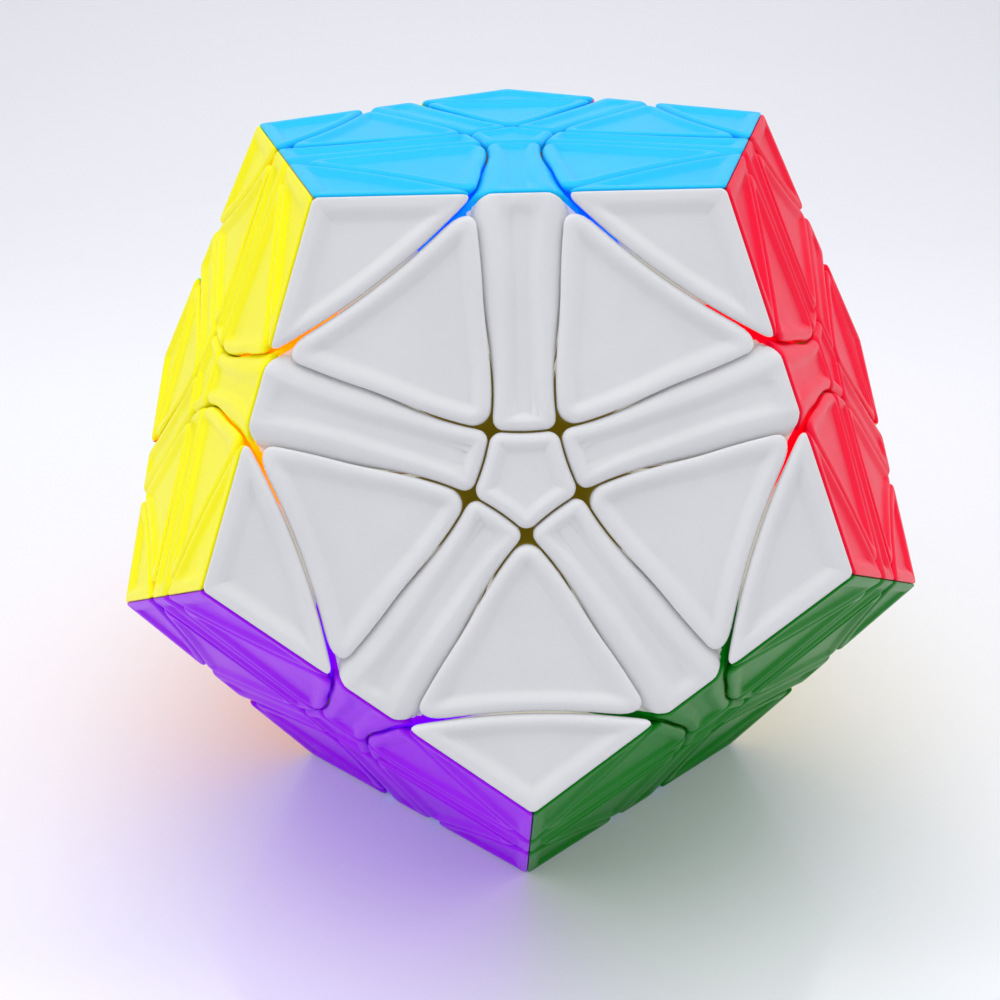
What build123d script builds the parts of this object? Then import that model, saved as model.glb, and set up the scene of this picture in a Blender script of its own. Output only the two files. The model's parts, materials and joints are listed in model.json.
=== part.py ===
from build123d import *
import math
import os

# Edge-turning dodecahedron puzzle, standing on one of its faces. Millimetres, +Z up.
# The origin is the centre of the core, where all thirty turning axes meet.
#
# Working out from the centre, spheres divide the mechanism into zones:
#   core      a hollow ball in two halves, with a screw post on every turning axis
#   flanges   the bottoms of the edge hubs, with the feet of the face centres between them
#   feet      the feet of corners and petals, held under the neighbouring coloured shells
#   shells    the coloured shells, each pressed over the plug on top of its foot or hub

# ---------------------------------------------------------------- driving dimensions
EDGE_LENGTH = 40.0  # edge of the dodecahedron
SEAM = 0.30  # gap between two pieces that slide past each other
GLUE_LINE = 0.06  # gap between two mouldings glued or pressed together
RUNNING_CLEARANCE = 0.08  # round each screw
WALL = 1.2  # side wall of a coloured shell
SKIN = 1.8  # top of a coloured shell
OVERLAP = 1.0  # how far a body runs into the one it is joined to or cut from

# The cut round each turning layer is a surface of revolution about the edge's axis: a
# cone from the centre of the puzzle, then a shallow flare out to the surface.
NECK_ANGLE = 26.0  # half-angle of the cone
FLARE_SLOPE = 0.36  # height gained by the flare for each mm outward
FLARE_APEX = 0.854 * EDGE_LENGTH  # height where the flare would meet the axis
FOOT_ANGLE = 28.0  # half-angle of the cut in the zone of feet, wider than the neck
FLANGE_ANGLE = 17.0  # half-angle of the flange of an edge hub
CENTRE_FOOT_ANGLE = 14.0  # half-angle of the foot of a face centre, between five flanges

# Radii of the spheres that bound the zones.
CORE_BORE = 11.5
CORE_RADIUS = 15.0
FLANGE_TOP = 26.0
FOOT_TOP = 31.0
PLUG_TOP = 34.5  # top of the plug that a coloured shell is pressed over

# Edge hub with its screw, spring and washer, measured along the edge's axis.
POST_RADIUS = 2.4
POST_TOP = 19.5
HUB_BOTTOM = 19.6
SHELF_TOP = 21.6
SLEEVE_RADIUS = 3.35
SLEEVE_TOP = 38.0
WELL_RADIUS = 2.4
SHANK_RADIUS = 1.1
SCREW_TIP = 12.5
SPRING_RADIUS = 1.75
WIRE_RADIUS = 0.25
SPRING_PITCH = 1.2
WASHER_BOTTOM = 28.0
WASHER_THICKNESS = 0.4
WASHER_RADIUS = 2.2
HEAD_RADIUS = 2.1
HEAD_FLAT_RADIUS = 1.47
HEAD_THICKNESS = 1.6
RECESS_WIDTH = 0.6
RECESS_LENGTH = 2.4
RECESS_DEPTH = 1.0

# Face centre.
CENTRE_FOOT_BOTTOM = 20.8
STEM_RADIUS = 1.4
STEM_TOP = 39.0
CENTRE_REACH = 7.5  # further from the face's axis than any corner of the centre cap

# ---------------------------------------------------------------- the dodecahedron
GOLDEN = (1 + math.sqrt(5)) / 2
INRADIUS = EDGE_LENGTH * GOLDEN**2 / (2 * math.sqrt(3 - GOLDEN))
BEYOND = 1.5 * INRADIUS  # further out than any corner
SIDE_TILT = math.degrees(math.atan(0.5))  # elevation of the axes of the upper side faces
SHARED_EDGE = 1 / math.sqrt(5)  # cosine between the axes of two faces that share an edge
SAME = 0.01  # two cosines closer than this are equal
CENTRE = Vector(0, 0, 0)


def direction(azimuth, elevation):
    """Unit vector at an azimuth from +X and an elevation above the XY plane, in degrees."""
    a, e = math.radians(azimuth), math.radians(elevation)
    return Vector(math.cos(e) * math.cos(a), math.cos(e) * math.sin(a), math.sin(e))


UPPER = ("white", "red", "pink", "lime", "yellow")
LOWER = ("green", "cream", "grey", "orange", "purple")
FACES = {"blue": Vector(0, 0, 1)}
FACES |= {name: direction(72 * k - 90, SIDE_TILT) for k, name in enumerate(UPPER)}
FACES |= {name: direction(72 * k - 54, -SIDE_TILT) for k, name in enumerate(LOWER)}
FACES |= {"sky": Vector(0, 0, -1)}


def touching(one, other):
    """Whether two faces share an edge."""
    return abs(FACES[one].dot(FACES[other]) - SHARED_EDGE) < SAME


def later(name):
    """The faces that come after this one in the list of faces."""
    names = list(FACES)
    return names[names.index(name) + 1 :]


EDGES = [(a, b) for a in FACES for b in later(a) if touching(a, b)]
CORNERS = [(a, b, c) for a, b in EDGES for c in later(b) if touching(a, c) and touching(b, c)]
PETALS = [(corner, face) for corner in CORNERS for face in corner]


def axis_of(faces):
    """Axis of the edge or the corner where these faces meet."""
    return sum((FACES[name] for name in faces), CENTRE).normalized()


# ---------------------------------------------------------------- local frames
def edge_frame(a, b):
    """Z along the edge's axis and X along the edge, with face a on the -Y side."""
    return Plane(CENTRE, x_dir=FACES[a].cross(FACES[b]), z_dir=axis_of((a, b)))


def towards(axis, target):
    """Z along an axis and X on the side of the target."""
    return Plane(CENTRE, x_dir=target - axis * axis.dot(target), z_dir=axis)


def corner_frame(corner, face):
    """Z along the corner's axis and X on the side of one of its faces."""
    return towards(axis_of(corner), FACES[face])


def petal_frame(corner, face):
    """Z along the face's axis and X on the side of the corner."""
    return towards(FACES[face], axis_of(corner))


def centre_frame(face):
    """Z along the face's axis and X on the side of a neighbouring face."""
    neighbour = next(name for name in FACES if touching(name, face))
    return towards(FACES[face], FACES[neighbour])


def placed(part, model_frame, frame):
    """A copy of a part modelled in one frame, carried to another frame."""
    return frame.location * model_frame.location.inverse() * part


# ---------------------------------------------------------------- the cut and its zones
def cut_body(half_angle, inset, flared):
    """Solid inside a layer's cut, about +Z, with the cut moved inward by the inset."""
    slope = math.tan(math.radians(half_angle))
    side = inset / math.cos(math.radians(half_angle))
    apex = FLARE_APEX + inset * math.hypot(1, FLARE_SLOPE)
    bend = (apex * slope - side) / (1 - FLARE_SLOPE * slope) if flared else BEYOND
    bend_height = (bend + side) / slope
    with BuildPart() as body:
        with BuildSketch(Plane.XZ):
            with BuildLine():
                Polyline(
                    (0, CORE_BORE),
                    (CORE_BORE * slope - side, CORE_BORE),
                    (bend, bend_height),
                    (2 * BEYOND, bend_height + FLARE_SLOPE * (2 * BEYOND - bend)),
                    (2 * BEYOND, 4 * BEYOND),
                    (0, 4 * BEYOND),
                    close=True,
                )
            make_face()
        revolve(axis=Axis.Z)
    return body.part


def zone(inside, outside, bottom, top, half_angle=NECK_ANGLE, inset=SEAM / 2):
    """Space between two spheres, inside some layers' cuts and outside others'."""
    flared = half_angle == NECK_ANGLE
    inner = cut_body(half_angle, inset, flared)
    outer = cut_body(half_angle, -inset, flared)
    with BuildPart() as space:
        Sphere(top)
        Sphere(bottom, mode=Mode.SUBTRACT)
        for edge in inside:
            add(edge_frame(*edge).location * inner, mode=Mode.INTERSECT)
        for edge in outside:
            add(edge_frame(*edge).location * outer, mode=Mode.SUBTRACT)
    return space.part


def below_faces(faces, depth):
    """Everything further in than this depth under each of the faces."""
    with BuildPart() as space:
        Sphere(BEYOND)
        for name in faces:
            cut = Plane(FACES[name] * (INRADIUS - depth), z_dir=FACES[name])
            split(bisect_by=cut, keep=Keep.BOTTOM)
    return space.part


def shell(faces, inside, outside):
    """Coloured shell: a closed top under the faces, side walls, open towards the core."""
    outline = zone(inside, outside, FOOT_TOP + SEAM / 2, BEYOND)
    hollow = zone(inside, outside, FOOT_TOP - OVERLAP, BEYOND, inset=SEAM / 2 + WALL)
    with BuildPart() as inner:
        add(hollow)
        add(below_faces(faces, SKIN), mode=Mode.INTERSECT)
    with BuildPart() as part:
        add(outline)
        add(below_faces(faces, 0), mode=Mode.INTERSECT)
        add(inner.part, mode=Mode.SUBTRACT)
    return part.part


def plug(inside, outside):
    """What fills the mouth of a shell's hollow."""
    inset = SEAM / 2 + WALL + GLUE_LINE
    return zone(inside, outside, FOOT_TOP - OVERLAP, PLUG_TOP, inset=inset)


def foot(inside, outside):
    """Foot held under the neighbouring shells, with the plug that carries its own shell."""
    base = zone(
        inside, outside, FLANGE_TOP + SEAM / 2, FOOT_TOP - SEAM / 2, half_angle=FOOT_ANGLE
    )
    with BuildPart() as part:
        add(base)
        add(plug(inside, outside))
    return part.part


def one_colour(part, face, others):
    """The share of a many-coloured shell that belongs to one of its faces."""
    with BuildPart() as share:
        add(part)
        for other in others:
            mirror_axis = (FACES[face] - FACES[other]).normalized()
            cut = Plane(mirror_axis * GLUE_LINE / 2, z_dir=mirror_axis)
            split(bisect_by=cut, keep=Keep.TOP)
    return share.part


def turned(*points):
    """Solid of revolution about +Z with this outline of (radius, height) points."""
    with BuildPart() as body:
        with BuildSketch(Plane.XZ):
            with BuildLine():
                Polyline(*points, close=True)
            make_face()
        revolve(axis=Axis.Z)
    return body.part


# ---------------------------------------------------------------- the model pieces
# One of each kind, modelled where it sits round the corner of blue, white and yellow.
EDGE = ("white", "yellow")
EDGE_NEIGHBOURS = [
    ("blue", "white"),
    ("blue", "yellow"),
    ("white", "purple"),
    ("yellow", "purple"),
]
CORNER = ("blue", "white", "yellow")
CORNER_EDGES = [("blue", "white"), ("blue", "yellow"), ("white", "yellow")]
PETAL_EDGES = [("blue", "white"), ("white", "yellow")]
PETAL_OPPOSITE = [("blue", "yellow")]
CENTRE_EDGES = [edge for edge in EDGES if "white" in edge]

edge_shell = one_colour(shell(EDGE, [EDGE], EDGE_NEIGHBOURS), "white", ["yellow"])
corner_shell = one_colour(shell(CORNER, CORNER_EDGES, []), "white", ["blue", "yellow"])
corner_foot = foot(CORNER_EDGES, [])
petal_shell = shell(["white"], PETAL_EDGES, PETAL_OPPOSITE)
petal_foot = foot(PETAL_EDGES, PETAL_OPPOSITE)

# Edge hub: a flange that carries the neighbouring feet, a sleeve with a well for the
# spring and the screw's head, and a plug for the two coloured shells.
FLANGE_SLOPE = math.tan(math.radians(FLANGE_ANGLE))
FLANGE_GAP = SEAM / 2 / math.cos(math.radians(FLANGE_ANGLE))

with BuildPart() as flange:
    add(
        turned(
            (0, HUB_BOTTOM),
            (HUB_BOTTOM * FLANGE_SLOPE - FLANGE_GAP, HUB_BOTTOM),
            (FOOT_TOP * FLANGE_SLOPE - FLANGE_GAP, FOOT_TOP),
            (0, FOOT_TOP),
        )
    )
    Sphere(FLANGE_TOP - SEAM / 2, mode=Mode.INTERSECT)

with BuildPart() as edge_hub:
    add(edge_frame(*EDGE).location.inverse() * plug([EDGE], EDGE_NEIGHBOURS))
    add(flange.part)
    with BuildSketch(Plane.XY.offset(HUB_BOTTOM)):
        Circle(SLEEVE_RADIUS)
    extrude(amount=SLEEVE_TOP - HUB_BOTTOM)
    with BuildSketch(Plane.XY.offset(SHELF_TOP)):
        Circle(WELL_RADIUS)
    extrude(amount=SLEEVE_TOP - SHELF_TOP, mode=Mode.SUBTRACT)
    with BuildSketch(Plane.XY.offset(HUB_BOTTOM)):
        Circle(SHANK_RADIUS + RUNNING_CLEARANCE)
    extrude(amount=SHELF_TOP - HUB_BOTTOM, mode=Mode.SUBTRACT)

# Screw with a domed head and a cross recess, its spring and its washer.
HEAD_BOTTOM = WASHER_BOTTOM + WASHER_THICKNESS + GLUE_LINE
HEAD_TOP = HEAD_BOTTOM + HEAD_THICKNESS

with BuildPart() as screw:
    add(
        turned(
            (0, SCREW_TIP),
            (SHANK_RADIUS, SCREW_TIP + SHANK_RADIUS),
            (SHANK_RADIUS, HEAD_BOTTOM),
            (HEAD_RADIUS, HEAD_BOTTOM),
            (HEAD_RADIUS, HEAD_BOTTOM + HEAD_THICKNESS / 2),
            (HEAD_FLAT_RADIUS, HEAD_TOP),
            (0, HEAD_TOP),
        )
    )
    with BuildSketch(Plane.XY.offset(HEAD_TOP)):
        Rectangle(RECESS_LENGTH, RECESS_WIDTH)
        Rectangle(RECESS_WIDTH, RECESS_LENGTH)
    extrude(amount=-RECESS_DEPTH, mode=Mode.SUBTRACT)

SPRING_START = SHELF_TOP + WIRE_RADIUS + RUNNING_CLEARANCE
SPRING_END = WASHER_BOTTOM - WIRE_RADIUS - RUNNING_CLEARANCE

with BuildPart() as spring:
    with BuildLine(Plane.XY.offset(SPRING_START)) as coil:
        Helix(SPRING_PITCH, SPRING_END - SPRING_START, SPRING_RADIUS)
    with BuildSketch(Plane(coil.line @ 0, z_dir=coil.line % 0)):
        Circle(WIRE_RADIUS)
    sweep()

with BuildPart() as washer:
    with BuildSketch(Plane.XY.offset(WASHER_BOTTOM)):
        Circle(WASHER_RADIUS)
        Circle(SHANK_RADIUS + RUNNING_CLEARANCE, mode=Mode.SUBTRACT)
    extrude(amount=WASHER_THICKNESS)

# Face centre: a five-sided cap pressed over the stem of a round foot.
CENTRE_FOOT_SLOPE = math.tan(math.radians(CENTRE_FOOT_ANGLE))

with BuildPart() as centre_cap:
    with BuildSketch(Plane.XY.offset(FOOT_TOP + SEAM / 2)):
        Circle(CENTRE_REACH)
    extrude(amount=INRADIUS - FOOT_TOP - SEAM / 2)
    for edge in CENTRE_EDGES:
        to_edge = centre_frame("white").location.inverse() * edge_frame(*edge).location
        add(to_edge * cut_body(NECK_ANGLE, -SEAM / 2, True), mode=Mode.SUBTRACT)
    with BuildSketch(Plane.XY.offset(FOOT_TOP)):
        Circle(STEM_RADIUS + GLUE_LINE)
    extrude(amount=STEM_TOP + GLUE_LINE - FOOT_TOP, mode=Mode.SUBTRACT)

with BuildPart() as centre_foot:
    add(
        turned(
            (0, CENTRE_FOOT_BOTTOM),
            (CENTRE_FOOT_BOTTOM * CENTRE_FOOT_SLOPE, CENTRE_FOOT_BOTTOM),
            (FOOT_TOP * CENTRE_FOOT_SLOPE, FOOT_TOP),
            (0, FOOT_TOP),
        )
    )
    Sphere(FLANGE_TOP - SEAM / 2, mode=Mode.INTERSECT)
    with BuildSketch(Plane.XY.offset(CENTRE_FOOT_BOTTOM)):
        Circle(STEM_RADIUS)
    extrude(amount=STEM_TOP - CENTRE_FOOT_BOTTOM)

# Core: a hollow ball with thirty posts, in two halves glued along a plane that passes
# between the posts.
with BuildPart() as post:
    with BuildSketch(Plane.XY.offset(CORE_BORE)):
        Circle(POST_RADIUS)
    extrude(amount=POST_TOP - CORE_BORE)

with BuildPart() as post_bore:
    with BuildSketch(Plane.XY.offset(CORE_BORE - OVERLAP)):
        Circle(SHANK_RADIUS + RUNNING_CLEARANCE)
    extrude(amount=POST_TOP - CORE_BORE + 2 * OVERLAP)

with BuildPart() as core:
    Sphere(CORE_RADIUS)
    add([edge_frame(*edge).location * post.part for edge in EDGES])
    Sphere(CORE_BORE, mode=Mode.SUBTRACT)
    add([edge_frame(*edge).location * post_bore.part for edge in EDGES], mode=Mode.SUBTRACT)


def between_posts():
    """The direction square to a plane that keeps as far as possible from every post."""
    face, edge, corner = FACES["white"], axis_of(("blue", "white")), axis_of(CORNER)
    spread = [edge.cross(corner).length, corner.cross(face).length, face.cross(edge).length]
    return (face * spread[0] + edge * spread[1] + corner * spread[2]).normalized()


with BuildPart() as outer_half:
    add(core.part)
    split(bisect_by=Plane(between_posts() * GLUE_LINE / 2, z_dir=between_posts()), keep=Keep.TOP)

with BuildPart() as inner_half:
    add(core.part)
    split(
        bisect_by=Plane(between_posts() * -GLUE_LINE / 2, z_dir=between_posts()),
        keep=Keep.BOTTOM,
    )

# ---------------------------------------------------------------- copies of the model pieces
EDGE_MODEL = edge_frame("white", "yellow")
CORNER_MODEL = corner_frame(CORNER, "white")
PETAL_MODEL = petal_frame(CORNER, "white")


def edge_shells(edges):
    """Both coloured shells of each of these edges."""
    frames = [edge_frame(*pair) for a, b in edges for pair in ((a, b), (b, a))]
    return [placed(edge_shell, EDGE_MODEL, frame) for frame in frames]


def corner_shells(corners):
    """The three coloured shells of each of these corners."""
    frames = [corner_frame(corner, face) for corner in corners for face in corner]
    return [placed(corner_shell, CORNER_MODEL, frame) for frame in frames]


def corner_feet(corners):
    """One foot for each of these corners."""
    frames = [corner_frame(corner, corner[0]) for corner in corners]
    return [placed(corner_foot, CORNER_MODEL, frame) for frame in frames]


def petals(part, places):
    """A petal's shell or foot at each of these places, a corner and one of its faces."""
    return [placed(part, PETAL_MODEL, petal_frame(*place)) for place in places]


def on_edges(part, edges):
    """Copies of a part modelled about +Z, on the axes of these edges."""
    return [edge_frame(*edge).location * part for edge in edges]


def on_faces(part):
    """Copies of a part modelled about +Z, on the axes of all the faces."""
    return [centre_frame(face).location * part for face in FACES]


def write(label, solids):
    """Write one node: a group of separate solids."""
    with BuildPart() as node:
        add(solids, clean=False)
    node.part.label = label
    export_step(node.part, f"parts/{label}.step")


# ---------------------------------------------------------------- the nodes
# A piece rides in one turning layer at most. The layers that turn here are those of the six
# edges whose axes lie along three lines square to each other. They share no piece, and never
# meet however each is turned, because a layer reaches less than 45 degrees from its axis.
FIRST_LAYER = ("blue", "yellow")


def turns(edge):
    """Whether an edge's axis lies along, or square to, that of the first layer."""
    cosine = abs(axis_of(edge).dot(axis_of(FIRST_LAYER)))
    return cosine < SAME or cosine > 1 - SAME


def corners_of(edge):
    """The corners at the two ends of an edge."""
    return [corner for corner in CORNERS if set(edge) <= set(corner)]


def petals_of(edge):
    """The four petals inside the cut of an edge's layer."""
    return [(corner, face) for corner in corners_of(edge) for face in edge]


os.makedirs("parts", exist_ok=True)
TURNING = [edge for edge in EDGES if turns(edge)]

for layer in TURNING:
    name = "_".join(layer)
    write(f"{name}_edge_shells", edge_shells([layer]))
    write(f"{name}_edge_hub", on_edges(edge_hub.part, [layer]))
    write(f"{name}_corner_shells", corner_shells(corners_of(layer)))
    write(f"{name}_corner_feet", corner_feet(corners_of(layer)))
    write(f"{name}_petal_shells", petals(petal_shell, petals_of(layer)))
    write(f"{name}_petal_feet", petals(petal_foot, petals_of(layer)))

turning_corners = [corner for layer in TURNING for corner in corners_of(layer)]
turning_petals = [place for layer in TURNING for place in petals_of(layer)]
still_edges = [edge for edge in EDGES if edge not in TURNING]
still_corners = [corner for corner in CORNERS if corner not in turning_corners]
still_petals = [place for place in PETALS if place not in turning_petals]

write("still_edge_shells", edge_shells(still_edges))
write("still_edge_hubs", on_edges(edge_hub.part, still_edges))
write("still_corner_shells", corner_shells(still_corners))
write("still_corner_feet", corner_feet(still_corners))
write("still_petal_shells", petals(petal_shell, still_petals))
write("still_petal_feet", petals(petal_foot, still_petals))
write("centre_caps", on_faces(centre_cap.part))
write("centre_feet", on_faces(centre_foot.part))
write("axis_screws", on_edges(screw.part, EDGES))
write("springs", on_edges(spring.part, EDGES))
write("washers", on_edges(washer.part, EDGES))
write("core_halves", [outer_half.part, inner_half.part])
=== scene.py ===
import json
import math

import bpy
import numpy as np
from mathutils import Matrix, Vector

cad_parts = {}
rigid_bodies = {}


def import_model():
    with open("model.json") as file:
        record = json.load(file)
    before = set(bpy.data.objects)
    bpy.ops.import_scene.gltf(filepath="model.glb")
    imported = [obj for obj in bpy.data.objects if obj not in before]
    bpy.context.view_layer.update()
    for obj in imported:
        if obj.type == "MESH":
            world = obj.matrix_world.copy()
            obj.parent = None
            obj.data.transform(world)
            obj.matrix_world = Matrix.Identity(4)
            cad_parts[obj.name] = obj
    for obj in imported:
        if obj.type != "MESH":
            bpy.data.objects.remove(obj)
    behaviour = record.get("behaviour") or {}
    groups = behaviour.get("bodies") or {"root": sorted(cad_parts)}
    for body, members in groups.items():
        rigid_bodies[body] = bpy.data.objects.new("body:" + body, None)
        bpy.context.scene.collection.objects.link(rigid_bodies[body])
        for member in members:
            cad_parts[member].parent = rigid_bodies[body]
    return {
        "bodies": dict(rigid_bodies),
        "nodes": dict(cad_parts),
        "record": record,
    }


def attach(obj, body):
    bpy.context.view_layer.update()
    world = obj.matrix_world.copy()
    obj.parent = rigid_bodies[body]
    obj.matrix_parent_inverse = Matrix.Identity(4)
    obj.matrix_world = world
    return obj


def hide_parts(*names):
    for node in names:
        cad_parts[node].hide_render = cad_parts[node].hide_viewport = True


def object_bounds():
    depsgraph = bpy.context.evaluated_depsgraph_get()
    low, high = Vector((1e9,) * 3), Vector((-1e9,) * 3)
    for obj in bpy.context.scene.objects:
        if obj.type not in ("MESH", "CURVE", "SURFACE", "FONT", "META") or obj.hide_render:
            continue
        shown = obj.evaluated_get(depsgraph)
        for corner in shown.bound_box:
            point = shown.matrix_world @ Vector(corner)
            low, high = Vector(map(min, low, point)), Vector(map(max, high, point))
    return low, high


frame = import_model()
cad_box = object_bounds()

# ---------------------------------------------------------------- proportions
# Lengths are in millimetres until a mesh is written, and all come from the CAD's height.
MM = 0.001
GOLDEN = (1 + math.sqrt(5)) / 2
INRADIUS_PER_EDGE = GOLDEN**2 / (2 * math.sqrt(3 - GOLDEN))
INRADIUS = (cad_box[1][2] - cad_box[0][2]) / 2 / MM
EDGE = INRADIUS / INRADIUS_PER_EDGE

NECK = math.radians(26.0)  # half-angle of the conical part of each cut
FLARE_SLOPE = 0.36
FLARE_APEX = 0.854 * EDGE
HALF_SEAM = 0.09
BEND = 1.6  # over this length the cone of a cut turns into its flare
EDGE_POLAR = math.radians(31.717474)  # from a face's axis to the axis of one of its edges
SPOKE_POLAR = math.radians(58.282526)  # to the axis of an edge that starts at its corner
SHARED_EDGE = 1 / math.sqrt(5)  # cosine between the axes of two faces that share an edge
SAME = 0.01  # two cosines, or two angles, closer than this are equal

FACE_COLOURS = {
    "blue": (0.010, 0.540, 1.000),
    "white": (0.770, 0.775, 0.785),
    "red": (1.000, 0.002, 0.040),
    "pink": (0.950, 0.180, 0.420),
    "lime": (0.250, 0.800, 0.030),
    "yellow": (1.000, 0.930, 0.004),
    "green": (0.000, 0.200, 0.006),
    "cream": (0.950, 0.850, 0.350),
    "grey": (0.200, 0.210, 0.225),
    "orange": (1.000, 0.220, 0.004),
    "purple": (0.370, 0.002, 0.960),
    "sky": (0.280, 0.660, 0.920),
}
# Painted glow in the seams: the walls' emission, in place of the light that comes through the plastic
# into a seam and tints the walls there.
PAINTED_SEAM_GLOW = {
    "blue": (0.000, 0.030, 0.500),
    "white": (0.170, 0.160, 0.130),
    "red": (0.380, 0.000, 0.005),
    "pink": (0.400, 0.020, 0.110),
    "lime": (0.040, 0.260, 0.000),
    "yellow": (0.750, 0.060, 0.000),
    "green": (0.000, 0.040, 0.002),
    "cream": (0.330, 0.230, 0.060),
    "grey": (0.020, 0.022, 0.025),
    "orange": (0.420, 0.030, 0.000),
    "purple": (0.110, 0.000, 0.300),
    "sky": (0.050, 0.200, 0.340),
}
UPPER = ("white", "red", "pink", "lime", "yellow")
LOWER = ("green", "cream", "grey", "orange", "purple")


def direction(azimuth, polar):
    """Unit vector at an azimuth and an angle from +Z, in radians."""
    s = math.sin(polar)
    return Vector((s * math.cos(azimuth), s * math.sin(azimuth), math.cos(polar)))


TILT = math.atan(2)  # from +Z to the axis of an upper side face
AXES = {"blue": Vector((0, 0, 1)), "sky": Vector((0, 0, -1))}
AXES |= {n: direction(math.radians(72 * k - 90), TILT) for k, n in enumerate(UPPER)}
AXES |= {n: direction(math.radians(72 * k - 54), math.pi - TILT) for k, n in enumerate(LOWER)}


# ---------------------------------------------------------------- outline of each shell
def cut_distance(points, axis):
    """How far each point is inside the cut round an edge's axis; negative outside."""
    height = points @ np.array(axis)
    radius = np.sqrt(np.maximum((points**2).sum(-1) - height**2, 0))
    cone = height * math.sin(NECK) - radius * math.cos(NECK)
    flare = (height - FLARE_APEX - FLARE_SLOPE * radius) / math.hypot(1, FLARE_SLOPE)
    blend = np.maximum(BEND - np.abs(cone - flare), 0) / BEND
    return np.maximum(cone, flare) + blend * blend * BEND / 4


def round_min(distances, radius):
    """The least of several inside distances, with the corners between them rounded."""
    stacked = np.stack(distances, -1)
    short = np.maximum(radius - stacked, 0)
    return np.maximum(stacked.min(-1), radius) - np.sqrt((short**2).sum(-1))


def in_face(k):
    return direction(math.radians(72 * k), EDGE_POLAR)


def spoke(k):
    return direction(math.radians(36 + 72 * k), SPOKE_POLAR)


def mirror(k):
    """Square to the plane through the centre and edge k, pointing to this face's side."""
    return np.array(direction(math.radians(72 * k + 180), math.pi / 2 - EDGE_POLAR))


GLUE = 0.03  # half the gap between two shells of one piece
TIP_ROUNDING = 0.45
TOP_ROUNDING = 0.8  # where a shell's face meets its side walls
RIDGE_ROUNDING = 0.35  # where two faces meet along an edge of the dodecahedron
DISH_ROUNDING = 1.6  # corners of the dish in a shell's face
WALL_DEPTHS = (13.0, 11.5, 10.0, 8.5, 7.2, 6.0, 5.1, 4.3, 3.5, 2.7, 2.0, 1.4)
DRAFT = 0.03  # lean of the moulded walls, which also keeps their facets out of the cut
ROUND_STEPS = 6  # rings over the rounded top edge
DISH_STEPS = 8  # rings from the rim down into the dish
FLOOR_STEPS = (0.75, 0.5, 0.25)  # rings on the floor of the dish, as shares of its width
RAYS = 96  # points in each ring
DENSE = 2880  # points on an outline while the rays are chosen
BEND_SHARE = 0.7  # rays given to bends, against one for plain length
RAY_STEP = 0.01 * EDGE
HALVINGS = 24
UNCOLOURED = 0.27  # this near a face's axis, in edges, the walls are the feet's plastic


class Kind:
    """A shell's outline in its face's frame: Z along the face's axis, X over edge 0."""

    def __init__(self, name, middle, inside, outside, mirrors, rounding, rim, dish):
        self.name = name
        self.middle = np.array([middle[0], middle[1], INRADIUS])
        self.inside = inside
        self.outside = outside
        self.mirrors = mirrors
        self.rounding = rounding
        self.rim = rim
        self.dish = dish

    def cut(self, points):
        distances = [cut_distance(points, axis) - HALF_SEAM for axis in self.inside]
        distances += [-cut_distance(points, axis) - HALF_SEAM for axis in self.outside]
        return round_min(distances, self.rounding)

    def margin(self, points, inset=0.0, mirror_inset=0.0, rounding=TIP_ROUNDING):
        """How far inside the outline each point is, with the outline moved inward."""
        distances = [self.cut(points) - inset]
        distances += [points @ normal - GLUE - mirror_inset for normal in self.mirrors]
        return round_min(distances, rounding) if self.mirrors else distances[0]

    def ring(self, rays, depth, *margin_args):
        """Outline at a depth under the face: where each ray from the middle leaves the shell."""
        centre = self.middle * (INRADIUS - depth) / INRADIUS
        near = np.zeros(len(rays))
        inside = np.ones(len(rays), bool)
        while inside.any() and near.max() < EDGE:
            ahead = centre + rays * (near + RAY_STEP)[:, None]
            inside = inside & (self.margin(ahead, *margin_args) > 0)
            near = np.where(inside, near + RAY_STEP, near)
        far = near + RAY_STEP
        for _ in range(HALVINGS):
            half = (near + far) / 2
            good = self.margin(centre + rays * half[:, None], *margin_args) > 0
            near, far = np.where(good, half, near), np.where(good, far, half)
        return centre + rays * near[:, None]


KINDS = {
    "petal": Kind(
        "petal", (0.43 * EDGE * math.cos(math.radians(36)), 0.43 * EDGE * math.sin(math.radians(36))),
        [in_face(0), in_face(1)], [spoke(0)], [], 2.1, (0.9, 2.2), 0.55),
    "corner": Kind(
        "corner", (0.75 * EDGE * math.cos(math.radians(36)), 0.75 * EDGE * math.sin(math.radians(36))),
        [spoke(0)], [], [mirror(0), mirror(1)], 0.0, (0.9, 2.2), 0.55),
    "edge": Kind(
        "edge", (0.37 * EDGE, 0),
        [in_face(0)], [in_face(1), in_face(-1), spoke(0), spoke(-1)], [mirror(0)], 1.15,
        (0.85, 1.9), 0.45),
    "centre": Kind(
        "centre", (0, 0),
        [], [in_face(k) for k in range(5)], [], 1.15, (0.85, 1.9), 0.45),
}


def smooth(t):
    t = np.clip(t, 0, 1)
    return t * t * (3 - 2 * t)


def fan(angles):
    """Unit vectors at these angles, parallel to the face."""
    return np.stack([np.cos(angles), np.sin(angles), 0 * angles], -1)


def rays_for(kind):
    """Rays from the middle of a shell, closer together where its outline bends."""
    dense = fan(np.arange(DENSE) / DENSE * math.tau)
    weight = np.zeros(DENSE)
    for inset in np.linspace(0, TOP_ROUNDING, 5):
        outline = kind.ring(dense, 0, inset, min(inset, RIDGE_ROUNDING))
        turn = np.roll(outline, -1, 0) - outline
        length = np.linalg.norm(turn, axis=1)
        heading = turn / length[:, None]
        bend = np.linalg.norm(np.roll(heading, -1, 0) - heading, axis=1)
        weight += length / length.sum() + BEND_SHARE * bend / bend.sum()
    travel = np.concatenate([[0], np.cumsum(weight)])
    picks = np.interp(np.arange(RAYS) / RAYS * travel[-1], travel, np.arange(DENSE + 1))
    return fan(picks / DENSE * math.tau)


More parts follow.
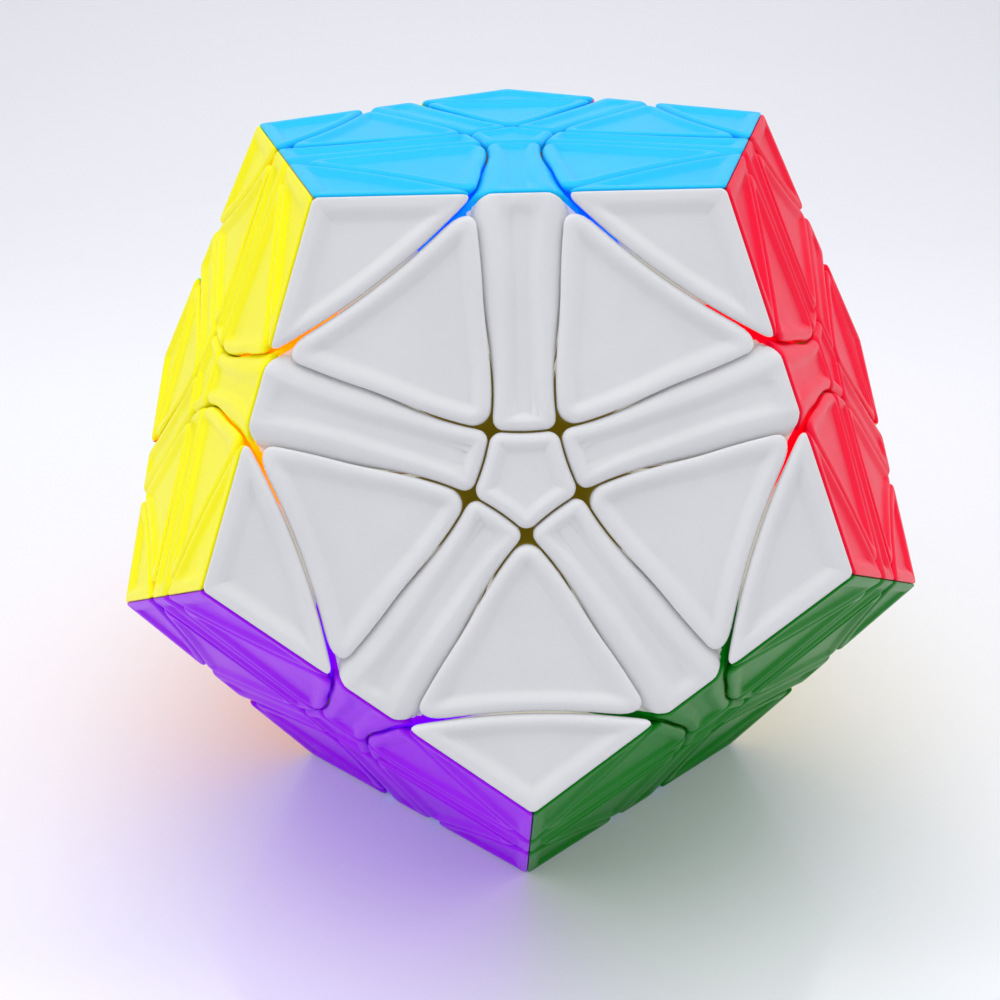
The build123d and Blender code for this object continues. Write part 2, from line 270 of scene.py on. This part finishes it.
def shell_mesh(kind):
    """A closed mesh of one shell: walls, rounded top edge, rim and dished middle."""
    start, end = kind.rim

    def dished(points):
        sunk = points.copy()
        share = (kind.margin(points, rounding=DISH_ROUNDING) - start) / (end - start)
        sunk[:, 2] -= kind.dish * smooth(share)
        return sunk

    rays = rays_for(kind)
    rings = [kind.ring(rays, depth, DRAFT * depth, 0) for depth in WALL_DEPTHS]
    for step in range(ROUND_STEPS + 1):
        phase = step / ROUND_STEPS * math.pi / 2
        depth = TOP_ROUNDING * (1 - math.sin(phase))
        inset = TOP_ROUNDING * (1 - math.cos(phase))
        lift = max(RIDGE_ROUNDING - depth, 0) / RIDGE_ROUNDING
        ridge = RIDGE_ROUNDING * (1 - math.sqrt(1 - lift * lift))
        rings.append(kind.ring(rays, depth, inset, ridge))
    flat = [kind.ring(rays, 0, inset, inset, DISH_ROUNDING) for inset in
            np.linspace(start, end, DISH_STEPS)]
    flat += [kind.middle + (flat[-1] - kind.middle) * share for share in FLOOR_STEPS]
    rings += [dished(points) for points in flat]
    bottom = rings[0].mean(0)[None]
    points = np.concatenate([*rings, bottom, dished(kind.middle[None])]) * MM
    faces = []
    for r in range(len(rings) - 1):
        for k in range(RAYS):
            a, b = r * RAYS + k, r * RAYS + (k + 1) % RAYS
            faces.append((a, b, b + RAYS, a + RAYS))
    last = (len(rings) - 1) * RAYS
    low, high = len(rings) * RAYS, len(rings) * RAYS + 1
    for k in range(RAYS):
        after = (k + 1) % RAYS
        faces.append((after, k, low))
        faces.append((last + k, last + after, high))
    mesh = bpy.data.meshes.new(kind.name)
    mesh.from_pydata([tuple(p) for p in points], [], faces)
    mesh.shade_smooth()
    for polygon in mesh.polygons:
        x, y, z = polygon.center / MM
        # Deep in the seam the walls take material 1, with the painted seam glow, and near the axis
        # material 2, the inner plastic with its painted glow.
        if z < INRADIUS - WALL_DEPTHS[-1]:
            polygon.material_index = 2 if math.hypot(x, y) < UNCOLOURED * EDGE else 1
    return mesh


# ---------------------------------------------------------------- materials
def node(tree, kind, **inputs):
    made = tree.nodes.new(kind)
    for name, value in inputs.items():
        made.inputs[name.replace("_", " ")].default_value = value
    return made


def plastic(name, colour, roughness, grain, depth, painted_glow=(0, 0, 0)):
    """Moulded plastic: faint clouding, a fine moulded grain, slightly uneven gloss and an optional
    painted glow from its emission.
    """
    material = bpy.data.materials.new(name)
    material.use_nodes = True
    tree = material.node_tree
    link = tree.links.new
    shader = tree.nodes["Principled BSDF"]
    where = tree.nodes.new("ShaderNodeTexCoord")

    cloud = node(tree, "ShaderNodeTexNoise", Scale=90.0, Detail=4.0, Roughness=0.6)
    tone = tree.nodes.new("ShaderNodeValToRGB")
    tone.color_ramp.elements[0].position = 0.3
    tone.color_ramp.elements[0].color = (*[c * 0.95 for c in colour], 1)
    tone.color_ramp.elements[1].position = 0.7
    tone.color_ramp.elements[1].color = (*colour, 1)
    link(where.outputs["Object"], cloud.inputs["Vector"])
    link(cloud.outputs["Fac"], tone.inputs["Fac"])
    link(tone.outputs["Color"], shader.inputs["Base Color"])

    smear = node(tree, "ShaderNodeTexNoise", Scale=240.0, Detail=6.0, Roughness=0.65)
    gloss = node(tree, "ShaderNodeMapRange", To_Min=roughness * 0.85, To_Max=roughness * 1.2)
    link(where.outputs["Object"], smear.inputs["Vector"])
    link(smear.outputs["Fac"], gloss.inputs["Value"])
    link(gloss.outputs["Result"], shader.inputs["Roughness"])

    fine = node(tree, "ShaderNodeTexNoise", Scale=2600.0, Detail=3.0, Roughness=0.55)
    bump = node(tree, "ShaderNodeBump", Strength=grain, Distance=0.00004)
    link(where.outputs["Object"], fine.inputs["Vector"])
    link(fine.outputs["Fac"], bump.inputs["Height"])
    link(bump.outputs["Normal"], shader.inputs["Normal"])

    shader.inputs["Subsurface Weight"].default_value = depth
    shader.inputs["Subsurface Radius"].default_value = (1.0, 1.0, 1.0)
    shader.inputs["Subsurface Scale"].default_value = 0.0008
    shader.inputs["Specular IOR Level"].default_value = 0.10
    shader.inputs["IOR"].default_value = 1.53
    # The emission is a painted glow, not a lamp.
    shader.inputs["Emission Color"].default_value = (*painted_glow, 1)
    shader.inputs["Emission Strength"].default_value = 1.0
    return material


def steel(name):
    """Zinc-plated steel with fine turning marks."""
    material = bpy.data.materials.new(name)
    material.use_nodes = True
    tree = material.node_tree
    link = tree.links.new
    shader = tree.nodes["Principled BSDF"]
    where = tree.nodes.new("ShaderNodeTexCoord")
    marks = node(tree, "ShaderNodeTexNoise", Scale=1500.0, Detail=5.0, Distortion=1.5)
    rough = node(tree, "ShaderNodeMapRange", To_Min=0.22, To_Max=0.45)
    bump = node(tree, "ShaderNodeBump", Strength=0.3, Distance=0.00003)
    link(where.outputs["Object"], marks.inputs["Vector"])
    link(marks.outputs["Fac"], rough.inputs["Value"])
    link(marks.outputs["Fac"], bump.inputs["Height"])
    link(rough.outputs["Result"], shader.inputs["Roughness"])
    link(bump.outputs["Normal"], shader.inputs["Normal"])
    shader.inputs["Base Color"].default_value = (0.62, 0.62, 0.64, 1)
    shader.inputs["Metallic"].default_value = 1.0
    return material


shell_plastic = {n: plastic(f"{n}_plastic", c, 0.34, 0.35, 0.3) for n, c in FACE_COLOURS.items()}
# Each colour's wall material carries its painted seam glow as emission.
painted_glow_walls = {
    n: plastic(f"{n}_walls", c, 0.34, 0.35, 0.0, PAINTED_SEAM_GLOW[n]) for n, c in FACE_COLOURS.items()
}
# The inner plastic's emission is a painted glow: it lights the mechanism seen through the gaps evenly,
# in place of the light that gets in between the pieces.
inner_plastic = plastic("inner_plastic", (0.30, 0.24, 0.040), 0.5, 0.6, 0.1, (0.060, 0.045, 0.002))
core_plastic = plastic("core_plastic", (0.20, 0.16, 0.05), 0.55, 0.7, 0.0)
plated = steel("plated_steel")
INNER = {"inner_plastic": inner_plastic, "core_plastic": core_plastic, "steel": plated}
for part in frame["record"]["subparts"]:
    material = INNER.get(part["material_slot"])
    material = material or shell_plastic[part["material_slot"]]
    obj = frame["nodes"][part["node"]]
    obj.data.materials.clear()
    obj.data.materials.append(material)


# ---------------------------------------------------------------- the shells in place
LAYERS = [body.removesuffix("_layer") for body in frame["bodies"] if body != "core"]
meshes = {name: shell_mesh(kind) for name, kind in KINDS.items()}


def layer_of(*faces):
    """The turning layer of the edge between two of these faces, if it has one."""
    return next((layer for layer in LAYERS if set(layer.split("_")) <= set(faces)), None)


def around(face):
    """The faces that share an edge with this one, in order about its axis."""
    sharing = [n for n, axis in AXES.items() if abs(axis.dot(AXES[face]) - SHARED_EDGE) < SAME]
    local = {n: stand(face, sharing[0]).inverted() @ AXES[n] for n in sharing}
    return sorted(sharing, key=lambda n: (math.atan2(local[n].y, local[n].x) + SAME) % math.tau)


def stand(face, neighbour):
    """Turns +Z to the face's axis, and +X to the edge that it shares with the neighbour."""
    z = AXES[face]
    x = (AXES[neighbour] - z * z.dot(AXES[neighbour])).normalized()
    return Matrix((x, z.cross(x), z)).transposed().to_4x4()


def place(kind, name, matrix, face, layer=None):
    """One shell, which rides with a turning layer or else with the core."""
    shape = bpy.data.objects.new(name, meshes[kind].copy())
    shape.data.transform(matrix)
    for material in (shell_plastic[face], painted_glow_walls[face], inner_plastic):
        shape.data.materials.append(material)
    bpy.context.scene.collection.objects.link(shape)
    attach(shape, f"{layer}_layer" if layer else "core")
    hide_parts(f"{layer or 'still'}_{kind}_shells" if kind != "centre" else "centre_caps")


for face in AXES:
    ring = around(face)
    place("centre", f"{face}_centre", stand(face, ring[0]), face)
    for one, next_one in zip(ring, ring[1:] + ring[:1]):
        matrix = stand(face, one)
        both = f"{one}_{next_one}"
        place("edge", f"{face}_edge_by_{one}", matrix, face, layer_of(face, one))
        layer = layer_of(face, one, next_one)
        place("corner", f"{face}_corner_by_{both}", matrix, face, layer)
        layer = layer_of(face, one) or layer_of(face, next_one)
        place("petal", f"{face}_petal_by_{both}", matrix, face, layer)

# ---------------------------------------------------------------- floor, backdrop and light
FLOOR = cad_box[0][2]


def backdrop():
    """A floor that sweeps up behind the object, in one sheet."""
    front, back, side, bend = -1.2, 0.75, 3.0, 0.5
    profile = [(front, 0.0), (-0.4, 0.0), (0.0, 0.0), (back - bend, 0.0)]
    for k in range(1, 13):
        a = k / 12 * math.pi / 2
        profile.append((back - bend + bend * math.sin(a), bend - bend * math.cos(a)))
    profile.append((back, 2.5))
    points = [(x, y, FLOOR + z) for y, z in profile for x in (-side, side)]
    faces = [(2 * k, 2 * k + 1, 2 * k + 3, 2 * k + 2) for k in range(len(profile) - 1)]
    mesh = bpy.data.meshes.new("backdrop")
    mesh.from_pydata(points, [], faces)
    mesh.shade_smooth()
    sheet = bpy.data.objects.new("backdrop", mesh)
    bpy.context.scene.collection.objects.link(sheet)
    material = bpy.data.materials.new("glossy_board")
    material.use_nodes = True
    tree = material.node_tree
    shader = tree.nodes["Principled BSDF"]
    where = tree.nodes.new("ShaderNodeTexCoord")
    apart = tree.nodes.new("ShaderNodeSeparateXYZ")
    # Painted shade: the board's colour darkens from the front towards the back and up the sweep, down
    # to nine tenths.
    painted_shade_falloff = node(tree, "ShaderNodeMapRange", From_Min=0.1, From_Max=back, To_Min=1, To_Max=0.9)
    tone = node(tree, "ShaderNodeHueSaturation", Color=(0.93, 0.935, 0.97, 1))
    tree.links.new(where.outputs["Object"], apart.inputs["Vector"])
    tree.links.new(apart.outputs["Y"], painted_shade_falloff.inputs["Value"])
    tree.links.new(painted_shade_falloff.outputs["Result"], tone.inputs["Value"])
    tree.links.new(tone.outputs["Color"], shader.inputs["Base Color"])
    haze = node(tree, "ShaderNodeTexNoise", Scale=6.0, Detail=3.0)
    rough = node(tree, "ShaderNodeMapRange", To_Min=0.10, To_Max=0.15)
    tree.links.new(where.outputs["Object"], haze.inputs["Vector"])
    tree.links.new(haze.outputs["Fac"], rough.inputs["Value"])
    tree.links.new(rough.outputs["Result"], shader.inputs["Roughness"])
    mesh.materials.append(material)


def softbox(name, place_at, target, size, power, colour=(1, 1, 1)):
    light = bpy.data.lights.new(name, "AREA")
    light.shape = "RECTANGLE"
    light.size, light.size_y = size
    light.energy = power
    light.color = colour
    lamp = bpy.data.objects.new(name, light)
    lamp.location = place_at
    aim = Vector(target) - Vector(place_at)
    lamp.rotation_euler = aim.to_track_quat("-Z", "Y").to_euler()
    bpy.context.scene.collection.objects.link(lamp)


backdrop()
softbox("overhead", (0.0, 0.05, 0.62), (0, 0, 0), (0.9, 0.7), 3.4)
softbox("front", (0.0, -0.75, 0.35), (0, 0, 0), (0.9, 0.5), 0.9)
softbox("left", (-0.65, -0.1, 0.25), (0, 0, 0), (0.5, 0.5), 1.3)
softbox("right", (0.65, -0.1, 0.25), (0, 0, 0), (0.5, 0.5), 0.9)

world = bpy.data.worlds.new("studio")
world.use_nodes = True
world.node_tree.nodes["Background"].inputs["Color"].default_value = (0.93, 0.93, 1.0, 1)
path = world.node_tree.nodes.new("ShaderNodeLightPath")
level = node(world.node_tree, "ShaderNodeMapRange", To_Min=0.41, To_Max=0.85)
sky = world.node_tree.nodes["Background"]
world.node_tree.links.new(path.outputs["Is Camera Ray"], level.inputs["Value"])
world.node_tree.links.new(level.outputs["Result"], sky.inputs["Strength"])
bpy.context.scene.world = world
bpy.context.scene.view_settings.view_transform = "Standard"

# ---------------------------------------------------------------- camera
AZIMUTH, ELEVATION, ROLL = math.radians(-0.166), math.radians(30.434), math.radians(-1.271)
DISTANCE, SHIFT_X, SHIFT_Y = 3.6111, -0.0585, -0.1315  # in edges of the dodecahedron
FOCAL = 1.02276  # in image widths

back = Vector((math.sin(AZIMUTH) * math.cos(ELEVATION),
               -math.cos(AZIMUTH) * math.cos(ELEVATION), math.sin(ELEVATION)))
level = Vector((math.cos(AZIMUTH), math.sin(AZIMUTH), 0))
upright = back.cross(level)
right = math.cos(ROLL) * level + math.sin(ROLL) * upright
up = -math.sin(ROLL) * level + math.cos(ROLL) * upright
camera = bpy.data.objects.new("camera", bpy.data.cameras.new("camera"))
camera.data.sensor_width = 36
camera.data.lens = 36 * FOCAL
camera.data.clip_start = 0.01
camera.location = (back * DISTANCE + right * SHIFT_X + up * SHIFT_Y) * EDGE * MM
camera.rotation_euler = Matrix((right, up, back)).transposed().to_euler()
bpy.context.scene.collection.objects.link(camera)
bpy.context.scene.camera = camera
